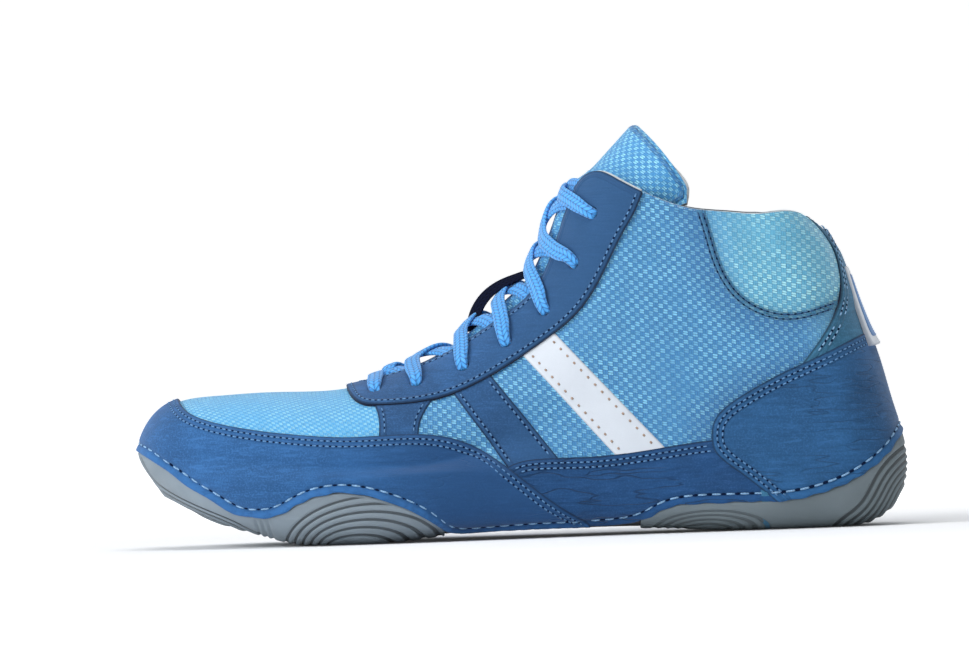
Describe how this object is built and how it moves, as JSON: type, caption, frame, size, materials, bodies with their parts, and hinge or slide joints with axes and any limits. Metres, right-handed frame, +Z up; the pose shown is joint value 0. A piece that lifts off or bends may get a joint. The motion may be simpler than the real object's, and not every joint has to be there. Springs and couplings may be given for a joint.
{
  "type": "boxing boot",
  "caption": "Mid-height lace-up boxing boot for a left foot, nubuck overlays on coarse mesh, split grey rubber sole, padded collar and a free tongue flap.",
  "frame": {"origin": "on the ground, under the middle of the boot's box", "axes": "+X from toe to heel, +Y to the medial (inner) side, +Z up"},
  "size_m": [0.2911, 0.1008, 0.155],
  "materials": {
    "sole_rubber": "matt grey moulded rubber",
    "foam": "soft open-cell foam",
    "board": "fibre board and thermoplastic stiffener",
    "white_leather": "smooth white leather",
    "blue_nubuck": "fine nubuck, matt",
    "blue_mesh": "coarse basket-weave mesh",
    "white_lining": "brushed textile lining",
    "black_webbing": "narrow woven webbing",
    "lace_braid": "flat braided polyester lace",
    "badge_white": "flexible rubbery label",
    "badge_blue": "flexible rubbery label"
  },
  "bodies": {
    "boot": {"arch_rand_lateral": "blue_nubuck", "arch_rand_medial": "blue_nubuck", "arch_sole": "sole_rubber", "backstay": "blue_nubuck", "collar_lining": "white_lining", "collar_padding": "foam", "eyestay_lateral": "blue_nubuck", "eyestay_medial": "blue_nubuck", "eyestay_tab_lateral": "blue_nubuck", "eyestay_tab_medial": "blue_nubuck", "heel_badge_frame": "badge_white", "heel_badge_inlay": "badge_blue", "heel_counter": "blue_nubuck", "heel_stiffener": "board", "insole_board": "board", "lining_quarter_lateral": "white_lining", "lining_quarter_medial": "white_lining", "lining_vamp": "white_lining", "midsole": "foam", "outsole_forefoot": "sole_rubber", "outsole_heel": "sole_rubber", "quarter_mesh_lateral": "blue_mesh", "quarter_mesh_medial": "blue_mesh", "shoelace": "lace_braid", "side_stripe_lateral": "blue_nubuck", "side_stripe_medial": "blue_nubuck", "sockliner": "foam", "toe_puff": "board", "toe_rand": "blue_nubuck", "tongue_face": "blue_mesh", "tongue_foam": "foam", "tongue_lining": "white_lining", "tongue_loop": "black_webbing", "vamp_mesh": "blue_mesh", "white_stripe_lateral": "white_leather", "white_stripe_medial": "white_leather"},
    "tongue_top": {"flap_face": "blue_mesh", "flap_foam": "foam", "flap_lining": "white_lining"}
  },
  "joints": [
    {"name": "tongue_flap", "type": "hinge", "parent": "boot", "child": "tongue_top", "pos_m": [0.0275, 0, 0.1345], "axis": [0, -1, 0], "range_deg": [0, 45]}
  ]
}
